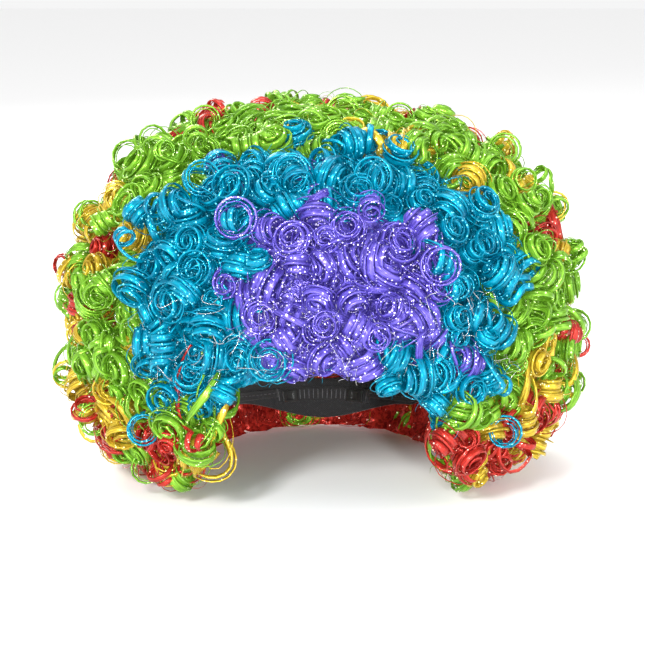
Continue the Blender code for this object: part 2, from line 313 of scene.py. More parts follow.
def fibre_material(name, hue, along, stretch, depth, painted_glint_share):
    """Glossy filament, with painted glints and painted fill light. along names the coordinates that
    its lines follow: UV or Object.
    """
    dark, light, glint = hue
    made = bpy.data.materials.new(name)
    made.use_nodes = True
    tree = made.node_tree
    shader = tree.nodes["Principled BSDF"]
    where = node(tree, "ShaderNodeTexCoord")
    place = node(tree, "ShaderNodeMapping", [("Vector", where.outputs[along]),
                                             ("Scale", stretch)])
    fibre = node(tree, "ShaderNodeGroup", node_tree=fibre_group)
    tree.links.new(place.outputs[0], fibre.inputs["Along"])
    fibre.inputs["Dark"].default_value = (*dark, 1)
    fibre.inputs["Light"].default_value = (*light, 1)
    fibre.inputs["Glint"].default_value = (*glint, 1)
    fibre.inputs["Glint Amount"].default_value = painted_glint_share
    bump = node(tree, "ShaderNodeBump", [("Height", fibre.outputs["Height"]),
                                         ("Strength", 0.5), ("Distance", depth)])
    tree.links.new(fibre.outputs["Color"], shader.inputs["Base Color"])
    tree.links.new(fibre.outputs["Roughness"], shader.inputs["Roughness"])
    # The emission carries the painted fill light and the painted glints.
    tree.links.new(fibre.outputs["Glow"], shader.inputs["Emission Color"])
    tree.links.new(bump.outputs[0], shader.inputs["Normal"])
    shader.inputs["Base Color"].default_value = between(dark, light)
    shader.inputs["Roughness"].default_value = 0.3
    shader.inputs["Emission Strength"].default_value = 0.9
    shader.inputs["Metallic"].default_value = 0.45
    shader.inputs["Specular Tint"].default_value = (*glint, 1)
    shader.inputs["Coat Weight"].default_value = 0.22
    shader.inputs["Coat Roughness"].default_value = 0.10
    return made


# Each hue's glint is the colour of its painted highlight specks, and also its specular tint.
HUES = {  # the dark and light of each filament, and its glint
    "purple": ((0.034, 0.019, 0.21), (0.145, 0.115, 0.54), (0.85, 0.78, 1.0)),
    "blue": ((0.0, 0.078, 0.150), (0.0, 0.275, 0.40), (0.20, 0.75, 0.90)),
    "green": ((0.055, 0.17, 0.006), (0.20, 0.43, 0.030), (0.85, 1.0, 0.50)),
    "yellow": ((0.24, 0.14, 0.008), (0.62, 0.46, 0.035), (1.0, 0.95, 0.50)),
    "red": ((0.13, 0.004, 0.004), (0.52, 0.030, 0.020), (1.0, 0.60, 0.50)),
}
# The share of cells in the speck pattern that carry a painted glint: most at the forehead.
PAINTED_GLINT_SHARES = {"purple": 0.13, "blue": 0.075, "green": 0.045, "yellow": 0.045, "red": 0.035}
LINES = (7.0, 24.0, 1.0)
CRIMPS = (420, 420, 420)
FIBRES = {name: fibre_material(f"{name}_fibre", hue, "UV", LINES, 0.0004, PAINTED_GLINT_SHARES[name])
          for name, hue in HUES.items()}
# The under-hair takes half the painted glints, and the same painted fill light.
UNDER_FIBRES = {name: fibre_material(f"{name}_under_fibre", hue, "Object", CRIMPS, 0.0012,
                                     PAINTED_GLINT_SHARES[name] / 2)
                for name, hue in HUES.items()}
print("fibres:", ", ".join(FIBRES))

# %% [markdown]
# A ringlet is a lock wound round a rod, and the Screw modifier winds in just that way: a small
# closed outline, set off to one side, turned and raised. The coil only says which points join;
# each strand keeps its own turns, and it is laid along its lock's path afterwards. One lock is a
# broad flat band, a tighter one inside it, a loose one, and a thin one that frays out.

# %% Wind the strands
RINGLET_KINDS, FLYAWAY_KINDS = 9, 12
random = np.random.default_rng(11)


def wind(corners, turns, steps_a_turn):
    """A closed outline wound into a coil, as a mesh with a map: U runs along it, V across."""
    bpy.ops.object.select_all(action="DESELECT")
    bpy.ops.mesh.primitive_circle_add(vertices=corners, radius=0.1, location=(1, 0, 0),
                                      rotation=(pi / 2, 0, 0))
    bpy.ops.object.transform_apply(location=True, rotation=True, scale=True)
    made = bpy.context.object
    screw = made.modifiers.new("Wind", "SCREW")
    screw.axis = "Z"
    screw.angle = 2 * pi * turns
    screw.screw_offset = turns
    screw.steps = screw.render_steps = round(steps_a_turn * turns)
    screw.use_merge_vertices = False
    bpy.ops.object.modifier_apply(modifier=screw.name)
    mesh = made.data
    shell = bmesh.new()
    shell.from_mesh(mesh)
    bmesh.ops.holes_fill(shell, edges=shell.edges, sides=0)
    bmesh.ops.recalc_face_normals(shell, faces=shell.faces)
    chart = shell.loops.layers.uv.new("lock")
    for face in shell.faces:
        ring = [corner.vert.index % corners for corner in face.loops]
        seam = 0 in ring and corners - 1 in ring and len(ring) == 4
        for corner, place in zip(face.loops, ring):
            across = corners if seam and place == 0 else place
            corner[chart].uv = (corner.vert.index // corners / steps_a_turn, across / corners)
    shell.to_mesh(mesh)
    shell.free()
    mesh.shade_smooth()
    bpy.data.objects.remove(made)
    return mesh


def strand(turns, corners, steps_a_turn, wide, thick, out, start, sway):
    """A wound mesh with the numbers that lay it.

    wide and thick are in metres, and out is the distance from the rod's middle in rod radii.
    start is the angle at the root, and sway is how far the winding strays from even.
    """
    mesh = wind(corners, turns, steps_a_turn)
    return {"mesh": mesh, "corners": corners, "rings": len(mesh.vertices) // corners,
            "turns": turns, "out": out, "start": start, "sway": sway, "wide": wide,
            "thick": thick}


def wind_ringlet():
    """The strands of one lock."""
    turns = 3.7 + 0.9 * random.random()
    return [
        strand(turns, 6, 13, wide=0.0047, thick=0.0014, out=1.0, start=0, sway=0.12),
        strand(turns + 0.2, 4, 12, wide=0.0036, thick=0.0011, out=random.uniform(0.58, 0.84),
               start=1.5 + random.random(), sway=0.22),
        strand(turns - 0.2, 3, 13, wide=0.0024, thick=0.0011, out=1.04,
               start=3.0 + random.random(), sway=0.30),
        strand(turns - 0.5, 3, 14, wide=0.0008, thick=0.0006, out=1.14,
               start=4.5 + random.random(), sway=0.40),
    ]


ringlets = [wind_ringlet() for _ in range(RINGLET_KINDS)]
flyaways = [[strand(0.45 + 0.3 * random.random(), 3, 18, wide=0.00030, thick=0.00028, out=1.0,
                    start=random.random() * 6, sway=0.25)] for _ in range(FLYAWAY_KINDS)]
print("ringlets:", [sum(len(part["mesh"].polygons) for part in lock) for lock in ringlets])

# %% [markdown]
# A wound lock is combed to its place: its middle line becomes a curve from the weft tape out
# through the puff, loose near the root and wound tight at the end. A strand's broad side stays
# square to the rod that it was wound on, which is what catches the light along a real ringlet.

# %% Comb a lock
STEM_SHARE, STEM_STEPS, COIL_STEPS = 0.36, 26, 9
WIDTH_PLACES, WIDTHS = [0, 0.15, STEM_SHARE, 0.8, 1], [0.25, 0.5, 0.95, 1, 0.6]
TAPER_SHARE, LEAST_TAPER = 0.10, 0.08
HEAD_CLEARANCE = 0.0052
FLOOR_SOFTNESS, FLOOR_EASE, LOWEST = 0.004, 0.006, 0.0008


def path_through(root, root_way, start, ahead, run):
    """A cubic Bezier from the root to the start of the coil, then straight on along the coil."""
    length = np.linalg.norm(start - root)
    leave, arrive = root + root_way * length * 0.45, start - ahead * length * 0.40
    t = np.linspace(0, 1, STEM_STEPS)[:, None]
    stem = (root * (1 - t) ** 3 + 3 * leave * t * (1 - t) ** 2
            + 3 * arrive * t ** 2 * (1 - t) + start * t ** 3)
    coil = start + ahead * np.linspace(0, run, COIL_STEPS)[1:, None]
    return np.concatenate([stem, coil])


def frames_along(path):
    """Two unit directions square to the path, carried along it without twist."""
    ahead = unit(np.gradient(path, axis=0))
    side = np.empty_like(ahead)
    start = np.cross(ahead[0], [0.3, 0.5, 0.81])
    side[0] = start / np.linalg.norm(start)
    for i in range(1, len(path)):
        moved = side[i - 1] - ahead[i] * np.dot(side[i - 1], ahead[i])
        side[i] = moved / np.linalg.norm(moved)
    return side, np.cross(ahead, side)


def keep_clear(spots):
    """Pushes hair out of the wearer's head and up from what the wig stands on."""
    offset = spots - np.array(CENTRE)
    distance = np.linalg.norm(offset, axis=1)
    ways = offset / distance[:, None]
    least = head_radius(ways) + HEAD_CLEARANCE
    spots = np.array(CENTRE) + ways * np.maximum(distance, least)[:, None]
    sunk = np.minimum(spots[:, 2] - FLOOR_SOFTNESS, 0)
    low = np.exp(sunk / FLOOR_EASE) * (FLOOR_SOFTNESS - LOWEST) + LOWEST
    spots[:, 2] = np.where(spots[:, 2] < FLOOR_SOFTNESS, low, spots[:, 2])
    return spots


def lay_strand(part, path, reach, side, over, radius, roll):
    """The points of one strand, ring by ring, along the lock's path. reach is arc length."""
    corners, start, sway = part["corners"], part["start"], part["sway"]

    def wound(height):
        """The strand's middle, and its direction out from the rod, at shares of its length."""
        at = np.interp(height, [0, STEM_SHARE, 1], [0, reach[STEM_STEPS - 1], reach[-1]])
        middle, s, o = (np.stack([np.interp(at, reach, line[:, i]) for i in range(3)], axis=1)
                        for line in (path, side, over))
        turned = height * 2 * pi * part["turns"]
        angle = start + roll + turned + sway * 2 * np.sin(height * 7 + start)
        spread = part["out"] * (1 + sway * np.sin(turned * 0.37 + start * 2))
        width = np.interp(height, WIDTH_PLACES, WIDTHS)
        radial = unit(s) * np.cos(angle)[:, None] + unit(o) * np.sin(angle)[:, None]
        return middle + radial * (spread * width * radius)[:, None], radial

    fine = np.linspace(0, 1, 5 * part["rings"])
    steps = np.linalg.norm(np.diff(wound(fine)[0], axis=0), axis=1)
    run = np.concatenate([[0], np.cumsum(steps)])
    height = np.interp(np.linspace(0, run[-1], part["rings"]), run, fine)
    core, radial = wound(height)
    ahead = unit(np.gradient(core, axis=0))
    across = unit(np.cross(ahead, radial))
    outward = np.cross(across, ahead)
    nearest_end = np.minimum(height + 0.03, 1.0 - height)
    taper = np.clip(nearest_end / TAPER_SHARE, LEAST_TAPER, 1)[:, None, None] ** 0.7
    turn = np.arange(corners) * 2 * pi / corners
    points = (core[:, None]
              + outward[:, None] * (np.sin(turn) * part["thick"] / 2)[None, :, None] * taper
              + across[:, None] * (np.cos(turn) * part["wide"] / 2)[None, :, None] * taper)
    return points.reshape(-1, 3)


def comb(lock, path, radius, roll):
    """Copies of a lock's strands, laid along the path."""
    side, over = frames_along(path)
    reach = np.concatenate([[0], np.cumsum(np.linalg.norm(np.diff(path, axis=0), axis=1))])
    laid = []
    for part in lock:
        mesh = part["mesh"].copy()
        points = lay_strand(part, path, reach, side, over, radius, roll)
        mesh.vertices.foreach_set("co", keep_clear(points).ravel())
        laid.append(mesh)
    return laid


# %% [markdown]
# The locks stand on a spiral of evenly spread directions, as seeds do on a sunflower. Each is
# sewn to the cap straight behind its tip, but never below the rim, and none ends in the face.

# %% Where the locks go
LOCKS = 1195
AXIS = np.array([0, -cos(FOREHEAD_TILT), sin(FOREHEAD_TILT)])
CROWN = np.array([0, sin(FOREHEAD_TILT), cos(FOREHEAD_TILT)])
ACROSS = np.array([1.0, 0, 0])
FACE_HALF_WIDTH, FACE_TOP, FACE_SHOULDER, FACE_BACK = 0.066, 0.088, 0.050, -0.020
FACE_FLARE = 0.28
TAPE_LIFT = 0.0045
LOWEST_TIP = 0.004
ROW_COLOURS = ["purple"] * 2 + ["blue"] * 2 + ["green"] * 3 + ["yellow"] * 2 + ["red"] * 6


def even_directions(count):
    """Golden-angle spiral about the forehead axis."""
    index = np.arange(count) + 0.5
    polar = np.arccos(1 - 2 * index / count)
    turn = index * pi * (3 - sqrt(5))
    return (AXIS * np.cos(polar)[:, None] + CROWN * (np.sin(polar) * np.cos(turn))[:, None]
            + ACROSS * (np.sin(polar) * np.sin(turn))[:, None])


def in_face(spots, spare=0.0):
    """Whether points are in the opening for the face."""
    rise = np.clip((spots[:, 2] - FACE_SHOULDER) / (FACE_TOP - FACE_SHOULDER), 0, 1)
    flare = 1 + FACE_FLARE * np.clip(1 - spots[:, 2] / FACE_SHOULDER, 0, 1)
    half = FACE_HALF_WIDTH * np.sqrt(1 - rise ** 2) * flare - spare
    in_front, below = spots[:, 1] < FACE_BACK, spots[:, 2] < FACE_TOP - spare
    return in_front & (np.abs(spots[:, 0]) < half) & below


def root_of(way):
    """The place on the cap where a lock is sewn: straight behind it, but above the rim."""
    around = atan2(way[0], -way[1])
    up = max(asin(np.clip(way[2], -1, 1)) + radians(7), rim_angle(around) + radians(5))
    up = min(up, radians(88))
    root = np.array([sin(around) * cos(up), -cos(around) * cos(up), sin(up)])
    return root, np.array(CENTRE) + root * (head_radius(root[None])[0] + TAPE_LIFT)


ways = even_directions(LOCKS) + random.normal(0, 0.02, (LOCKS, 3))
ways = unit(ways)
tips = np.array(CENTRE) + ways * puff_radius(ways)[:, None]
kept = (tips[:, 2] > LOWEST_TIP) & ~in_face(tips)
ways = ways[kept]
print("locks:", len(ways))

# %% [markdown]
# Colours change with the angle from the forehead: purple, blue, green, yellow, then red. Locks of
# neighbouring rows fall over one another, so the zones mix, most of all low at the sides.

# %% Colour zones
LOW_EDGE = 0.053        # below this height locks are mostly red, whatever their angle
MIXED_FROM, MIXED_OVER = 0.090, 0.060   # from here down, and over this depth, zones mix more
PURPLE_ZONE, BLUE_ZONE, GREEN_ZONE, MIXED_ZONE, YELLOW_ZONE = 21.5, 41.5, 66, 90, 110


def polar_of(way):
    """Degrees between a direction and the forehead axis."""
    return degrees(acos(np.clip(np.dot(way, AXIS), -1, 1)))


def colour_at(way):
    """The colour of a lock that ends in a direction: zones by angle from the forehead, mixed."""
    height = SKULL_MIDDLE + way[2] * puff_radius(way[None])[0]
    wander = 2.2 * sin(way[0] * 23 + 1) + 1.6 * sin(way[2] * 31) + random.normal(0, 1.4)
    polar = polar_of(way) + wander
    low = np.clip((MIXED_FROM - height) / MIXED_OVER, 0, 1)
    chance = random.random()
    if height < LOW_EDGE + random.normal(0, 0.003):
        reds = 0.70 if way[0] > 0 else 0.58
        return "red" if chance < reds else "green" if chance < reds + 0.17 else "yellow"
    if polar < PURPLE_ZONE + 8 * way[0]:
        return "purple"
    if polar < BLUE_ZONE + 7.5 * abs(way[0]) / max(sin(radians(polar)), 0.1):
        return "blue" if chance < 0.985 else "purple"
    if polar < GREEN_ZONE:
        return "green" if chance < 0.90 else "yellow"
    if polar < MIXED_ZONE:
        if chance < 0.58 - 0.3 * low:
            return "green"
        return "yellow" if chance < 0.88 - 0.3 * low else "red"
    if polar < YELLOW_ZONE:
        return "yellow" if chance < 0.55 else "red" if chance < 0.85 else "green"
    return "red" if chance < 0.90 else "yellow"


# %% [markdown]
# All the locks of a weft row become one piece. A lock goes to the nearest row of its colour that
# still has room, because a very heavy mesh is hard to handle.

# %% Rows
ROW_FULL = 188000   # triangles, so that no row passes 200,000
rows = {row: [] for row in range(ROW_COUNT)}
filled = [0] * ROW_COUNT


def row_for(polar, colour):
    """The nearest row of that colour that still has room for more triangles."""
    ours = [row for row, shade in enumerate(ROW_COLOURS)
            if shade == colour and filled[row] < ROW_FULL]
    return min(ours, key=lambda row: abs(degrees(ROW_STEP) * (row + 0.5) - polar))


def file_under_row(meshes, polar, colour):
    """Keeps the meshes of one lock with those of its row, in the row's colour."""
    row = row_for(polar, colour)
    for mesh in meshes:
        mesh.materials.clear()
        mesh.materials.append(FIBRES[colour])
        rows[row].append(mesh)
        filled[row] += 2 * len(mesh.polygons)


# %% Make every lock
def add_lock(way, colour, radius, run, layer, ahead, kind):
    """Combs one lock so that its coil lies under the dome, and files it under its row."""
    root_way, root = root_of(way)
    reach = puff_radius(way[None])[0]
    skin = head_radius(way[None])[0]
    facing = abs(float(np.dot(ahead, way)))
    depth = facing * run / 2 + (1 - facing) * radius
    middle = np.array(CENTRE) + way * (skin + (reach - skin) * layer - depth)
    path = path_through(root, root_way, middle - ahead * run / 2, ahead, run)
    file_under_row(comb(kind, path, radius, random.random() * 2 * pi), polar_of(way), colour)


def random_lock(way):
    """A lock of random size, depth and lean."""
    layer = random.choice([1.06, 1.0, 0.92, 0.80], p=[0.18, 0.38, 0.28, 0.16])
    layer += random.normal(0, 0.03)
    radius = 0.0058 + 0.0048 * random.random() ** 1.3
    lean = random.choice([0.10, 0.55, 1.0], p=[0.38, 0.27, 0.35])
    sideways = unit(np.cross(way, random.normal(0, 1, 3))[None])[0]
    ahead = unit((way * (1 - lean) + sideways * lean + np.array([0, 0, -0.12]))[None])[0]
    run = 0.009 + 0.011 * random.random()
    colour = colour_at(way)
    kind = ringlets[random.integers(RINGLET_KINDS)]
    add_lock(way, colour, radius, run, layer, ahead, kind)


for way in ways:
    random_lock(way)
print("strands in rows:", {row + 1: len(made) for row, made in sorted(rows.items())})

# %% [markdown]
# Some curls have sprung open and stand out of the outline as single loops. Those seen from in
# front are placed one by one, by their angle round the face like a clock's hand, and how far
# they lean forward. The others are spread at random over the rest.

# %% Sprung loops
OTHER_LOOPS = 70
LOOPS = [  # turn from the top and lean forward, in degrees, radius in metres, colour
    (-28, 5, 0.0085, "green"), (-47, 4, 0.0105, "green"), (-38, 18, 0.0060, "green"),
    (19, 6, 0.0085, "green"), (43, 8, 0.0095, "green"), (50, 16, 0.0075, "green"),
    (72, 4, 0.0100, "green"), (-81, 6, 0.0105, "green"), (92, 6, 0.0070, "red"),
    (-75, 2, 0.0065, "red"), (-129, 18, 0.0085, "red"), (-123, 30, 0.0090, "green"),
    (-107, 22, 0.0095, "green"), (-109, 44, 0.0090, "blue"), (109, 44, 0.0090, "blue"),
    (-9, 42, 0.0105, "blue"), (14, 42, 0.0105, "blue"), (-32, 36, 0.0100, "blue"),
    (45, 55, 0.0110, "purple"), (-28, 50, 0.0115, "purple"), (100, 10, 0.0090, "green"),
    (-62, 6, 0.0095, "green"), (60, 6, 0.0085, "yellow"), (5, 4, 0.0100, "green"),
]
open_loops = [[strand(2.3 + 0.4 * random.random(), 6, 18, wide=0.0036, thick=0.0014, out=1.0,
                      start=0, sway=0.05),
               strand(2.2, 3, 18, wide=0.0010, thick=0.0008, out=0.86, start=0.6, sway=0.10)]
              for _ in range(6)]


def sprung_loop(way, colour, radius, ahead):
    """One open loop that stands a little proud of the dome."""
    add_lock(way, colour, radius, 0.006 + 0.004 * random.random(), random.uniform(1.08, 1.17),
             ahead, open_loops[random.integers(len(open_loops))])


for clock, forward, radius, colour in LOOPS:
    turn, lean = radians(clock), radians(forward)
    way = np.array([sin(turn) * cos(lean), -sin(lean), cos(turn) * cos(lean)])
    sprung_loop(way, colour, radius, unit(np.array([0.35 * random.normal(), -1, 0.2])))
for way in ways[random.integers(len(ways), size=OTHER_LOOPS)]:
    sideways = unit(np.cross(way, random.normal(0, 1, 3)))
    sprung_loop(way, colour_at(way), 0.0055 + 0.0045 * random.random(), sideways)
print("loops:", len(LOOPS) + OTHER_LOOPS)

# %% [markdown]
# Over the ringlets lies a haze of single filaments that have sprung loose. Each one is a thin
# three-sided strand with about half a turn of curl, laid crosswise near the outside.

# %% Stray filaments
STRAYS = 2200
STRAY_STEPS = STEM_STEPS + COIL_STEPS - 1


def lay_flyaway(start, sideways, lengths, radii):
    """One thin filament, laid crosswise at a place. lengths and radii are ranges in metres."""
    path = start + (sideways * np.linspace(-0.5, 0.5, STRAY_STEPS)[:, None]
                    * random.uniform(*lengths))
    kind = flyaways[random.integers(FLYAWAY_KINDS)]
    return comb(kind, path, random.uniform(*radii), random.random() * 2 * pi)


stray_ways = unit(even_directions(STRAYS) + random.normal(0, 0.03, (STRAYS, 3)))
stray_tips = np.array(CENTRE) + stray_ways * puff_radius(stray_ways)[:, None]
stray_kept = (stray_tips[:, 2] > LOWEST_TIP) & ~in_face(stray_tips, 0.004)
for way in stray_ways[stray_kept]:
    reach = puff_radius(way[None])[0]
    sideways = unit(np.cross(way, random.normal(0, 1, 3))[None])[0]
    start = np.array(CENTRE) + way * (reach * (0.90 + 0.09 * random.random()))
    strays = lay_flyaway(start, sideways, (0.008, 0.020), (0.003, 0.007))
    file_under_row(strays, polar_of(way), colour_at(way))
print("stray filaments:", stray_kept.sum())

# %% [markdown]
# Silver tinsel is spun into the hair at the forehead, and sparkles there as a fine mist.

# %% Silver tinsel
TINSEL = mottled_material("silver_tinsel", "ShaderNodeTexVoronoi", 700.0, 0.0,
                          ((0.95, 0.93, 0.90), (0.45, 0.43, 0.42)), roughness=0.25, metallic=0.8)
TINSEL_STRANDS = 260    # tries, of which those in the face or in another zone are dropped
for _ in range(TINSEL_STRANDS):
    around, up = radians(random.uniform(-48, 48)), radians(random.uniform(-4, 18))
    way = np.array([sin(around) * cos(up), -cos(around) * cos(up), sin(up)])
    sideways = unit(np.cross(way, random.normal(0, 1, 3)))
    start = np.array(CENTRE) + way * puff_radius(way[None])[0] * random.uniform(0.88, 1.0)
    if in_face(start[None], -0.006)[0] or colour_at(way) not in ("purple", "blue"):
        continue
    strays = lay_flyaway(start, sideways, (0.008, 0.018), (0.002, 0.005))
    file_under_row(strays, polar_of(way), "purple")
    for mesh in strays:
        mesh.materials[0] = TINSEL
print("tinsel tries:", TINSEL_STRANDS)

# %% Join each row
def join_meshes(name, meshes):
    """One object from many meshes, each keeping its own map and material."""
    bpy.ops.object.select_all(action="DESELECT")
    made = []
    for mesh in meshes:
        thing = bpy.data.objects.new(name, mesh)
        scene.collection.objects.link(thing)
        thing.select_set(True)
        made.append(thing)
    bpy.context.view_layer.objects.active = made[0]
    bpy.ops.object.join()
    joined = bpy.context.object
    joined.name = name
    return joined


def triangles(piece):
    return sum(len(face.vertices) - 2 for face in piece.data.polygons)


for row in range(ROW_COUNT):
    colour = ROW_COLOURS[row]
    piece = join_meshes(f"ringlets_{row + 1:02d}_{colour}", rows[row])
    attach(piece, "cap")
    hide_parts(f"curls_{row + 1:02d}_{colour}")
    print(piece.name, triangles(piece))

# %% [markdown]
# Under the ringlets every row has a dense crimped under-hair, which closes the gaps between them
# with their own colour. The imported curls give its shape: drawn in towards the cap, divided
# finely, and roughened by two Displace modifiers, one for tufts and one for crimp.

# %% Under-hair
UNDER_SHARE = 0.66
ROUGHNESSES = {"tufts": (0.011, 0.011), "crimp": (0.0028, 0.0030)}  # their size and depth
for label, (grain, _) in ROUGHNESSES.items():
    bpy.data.textures.new(label, "CLOUDS").noise_scale = grain


def make_under_hair(row):
    """The row's packed curls, drawn in towards the cap and roughened."""
    colour = ROW_COLOURS[row]
    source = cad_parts[f"curls_{row + 1:02d}_{colour}"]
    mesh = source.data.copy()
    piece = bpy.data.objects.new(f"under_hair_{row + 1:02d}_{colour}", mesh)
    scene.collection.objects.link(piece)
    bpy.ops.object.select_all(action="DESELECT")
    piece.select_set(True)
    bpy.context.view_layer.objects.active = piece
    bpy.ops.object.mode_set(mode="EDIT")
    bpy.ops.mesh.select_all(action="SELECT")
    bpy.ops.mesh.remove_doubles(threshold=0.00002)
    bpy.ops.mesh.subdivide(number_cuts=3)
    bpy.ops.object.mode_set(mode="OBJECT")
    spots = np.empty(len(mesh.vertices) * 3)
    mesh.vertices.foreach_get("co", spots)
    offset = spots.reshape(-1, 3) - np.array(CENTRE)
    distance = np.linalg.norm(offset, axis=1)
    way = offset / distance[:, None]
    least = head_radius(way) + HEAD_CLEARANCE
    drawn = least + (distance - least) * UNDER_SHARE
    mesh.vertices.foreach_set("co", (np.array(CENTRE) + way * drawn[:, None]).ravel())
    for label, (_, depth) in ROUGHNESSES.items():
        rough = piece.modifiers.new(label, "DISPLACE")
        rough.texture = bpy.data.textures[label]
        rough.texture_coords = "LOCAL"
        rough.strength = depth
        rough.mid_level = 0.55
        bpy.ops.object.modifier_apply(modifier=rough.name)
    mesh.vertices.foreach_get("co", spots)
    mesh.vertices.foreach_set("co", keep_clear(spots.reshape(-1, 3)).ravel())
    mesh.shade_smooth()
    mesh.materials.clear()
    mesh.materials.append(UNDER_FIBRES[colour])
    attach(piece, "cap")
    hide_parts(f"curls_{row + 1:02d}_{colour}")
    return piece


under_hair = [make_under_hair(row) for row in range(ROW_COUNT)]
print("under-hair:", sum(triangles(piece) for piece in under_hair), "triangles")

# %% [markdown]
# What is left is the cap itself, seen from below and through the face opening. Its net, bands,
# ribbons, tabs and straps are all strips that lie on the head. Each is a flat grid, bent to its
# place by one function, so its map runs along the strip and the weave and ribs can follow it.

# %% Webbing material
def make_weave_group():
    """Plain weave, one thread to each unit of a strip's own map, with flecks of lint."""
    group, enter, leave = new_group(
        "webbing_weave",
        [("Dark", "NodeSocketColor", (0, 0, 0, 1)), ("Light", "NodeSocketColor", (1, 1, 1, 1))],
        [("Color", "NodeSocketColor"), ("Roughness", "NodeSocketFloat"),
         ("Height", "NodeSocketFloat")])
    where = node(group, "ShaderNodeTexCoord")
    apart = node(group, "ShaderNodeSeparateXYZ", [("Vector", where.outputs["UV"])])
    along = maths(group, "SINE", maths(group, "MULTIPLY", apart.outputs[0], 2 * pi))
    across = maths(group, "SINE", maths(group, "MULTIPLY", apart.outputs[1], 2 * pi))
    crossing = maths(group, "MULTIPLY", along, across)
    height = maths(group, "MULTIPLY_ADD", crossing, 0.5, 0.5)
    lint = node(group, "ShaderNodeTexNoise", [("Vector", where.outputs["Object"]),
                                              ("Scale", 900.0), ("Detail", 3.0)])
    flecks = node(group, "ShaderNodeMapRange", [("Value", lint.outputs[0]), ("From Min", 0.58),
                                                ("From Max", 0.72)])
    share = maths(group, "MULTIPLY_ADD", flecks.outputs[0], 0.5,
                  maths(group, "MULTIPLY", height, 0.5))
    group.links.new(blend_colours(group, share, enter.outputs["Dark"], enter.outputs["Light"]),
                    leave.inputs["Color"])
    rough = maths(group, "MULTIPLY_ADD", height, -0.2, 0.85)
    group.links.new(rough, leave.inputs["Roughness"])
    group.links.new(height, leave.inputs["Height"])
    return group


weave_group = make_weave_group()


def woven_material(name, dark, light, sheen):
    """Woven cloth between two colours."""
    made = bpy.data.materials.new(name)
    made.use_nodes = True
    tree = made.node_tree
    shader = tree.nodes["Principled BSDF"]
    weave = node(tree, "ShaderNodeGroup", node_tree=weave_group)
    weave.inputs["Dark"].default_value = (*dark, 1)
    weave.inputs["Light"].default_value = (*light, 1)
    bump = node(tree, "ShaderNodeBump", [("Height", weave.outputs["Height"]),
                                         ("Strength", 0.7), ("Distance", 0.0003)])
    tree.links.new(weave.outputs["Color"], shader.inputs["Base Color"])
    tree.links.new(weave.outputs["Roughness"], shader.inputs["Roughness"])
    tree.links.new(bump.outputs[0], shader.inputs["Normal"])
    shader.inputs["Base Color"].default_value = between(dark, light)
    shader.inputs["Sheen Weight"].default_value = sheen
    return made


ELASTIC = woven_material("black_elastic", (0.008, 0.008, 0.009), (0.060, 0.060, 0.066), 0.25)
NET_THREAD = woven_material("net_thread", (0.006, 0.006, 0.007), (0.035, 0.035, 0.040), 0.15)
LABEL_CLOTH = woven_material("label_weave", (0.60, 0.59, 0.55), (0.86, 0.85, 0.81), 0.10)
print("woven:", ELASTIC.name, NET_THREAD.name, LABEL_CLOTH.name)


# %% Bend a strip
GRID_STEP = 0.0022


def head_point(around, up, offset):
    """Points on the head for angles around it and above level, raised by offset."""
    way = np.stack([np.sin(around) * np.cos(up), -np.cos(around) * np.cos(up),
                    np.sin(up) + 0 * around], axis=-1)
    return np.array(CENTRE) + way * (head_radius(way) + offset)[:, None]


def bend_strip(name, place, size, thick, rib=0.0, thread=0.0011):
    """A grid of size (length, width) in metres, bent by place(u, v) and given a wall.

    Every second row of points is raised by rib, as the cords of an elastic band are. thread is
    the spacing of the weave's threads.
    """
    length, width = size
    long, wide = max(8, round(length / GRID_STEP)), max(2, 2 * round(width / GRID_STEP))
    bpy.ops.object.select_all(action="DESELECT")
    bpy.ops.mesh.primitive_grid_add(x_subdivisions=long, y_subdivisions=wide, size=1)
    piece = bpy.context.object
    piece.name = piece.data.name = name
    spots = np.empty(len(piece.data.vertices) * 3)
    piece.data.vertices.foreach_get("co", spots)
    u, v = spots[0::3] + 0.5, spots[1::3] + 0.5
    points = place(u, v)
    ways = unit(points - np.array(CENTRE))
    cord = np.round(v * wide).astype(int) % 2
    points = points + ways * (thick / 2 + cord * rib)[:, None]
    piece.data.vertices.foreach_set("co", points.ravel())
    bpy.ops.object.mode_set(mode="EDIT")
    bpy.ops.mesh.select_all(action="SELECT")
    bpy.ops.mesh.normals_make_consistent(inside=False)
    bpy.ops.object.mode_set(mode="OBJECT")
    outward = sum(np.dot(np.array(face.normal), np.array(face.center) - np.array(CENTRE))
                  for face in piece.data.polygons)
    if outward < 0:
        piece.data.flip_normals()
    for spot in piece.data.uv_layers[0].data:
        spot.uv = (spot.uv[0] * length / thread, spot.uv[1] * width / thread)
    wall = piece.modifiers.new("Wall", "SOLIDIFY")
    wall.thickness = thick
    wall.offset = 0
    wall.use_even_offset = False
    bpy.ops.object.modifier_apply(modifier=wall.name)
    return piece


# %% [markdown]
# Every sewn edge has its run of stitches. One stitch is a short bead of thread, modelled once;
# copies of it are turned along the seam and joined to the strip that they hold.

# %% Sew a seam
THREAD = mottled_material("sewing_thread", "ShaderNodeTexNoise", 1500.0, 2.0,
                          ((0.05, 0.05, 0.055), (0.22, 0.22, 0.24)), roughness=0.55)


def make_bead():
    """The points and faces of one stitch, as long and wide as 2, to be scaled and turned."""
    bpy.ops.object.select_all(action="DESELECT")
    bpy.ops.mesh.primitive_uv_sphere_add(segments=6, ring_count=4, radius=1)
    bead = bpy.context.object
    corners = np.array([corner.co for corner in bead.data.vertices])
    faces = [list(face.vertices) for face in bead.data.polygons]
    bpy.data.objects.remove(bead)
    return corners, faces


BEAD, BEAD_FACES = make_bead()
SEAM_POINTS = 120


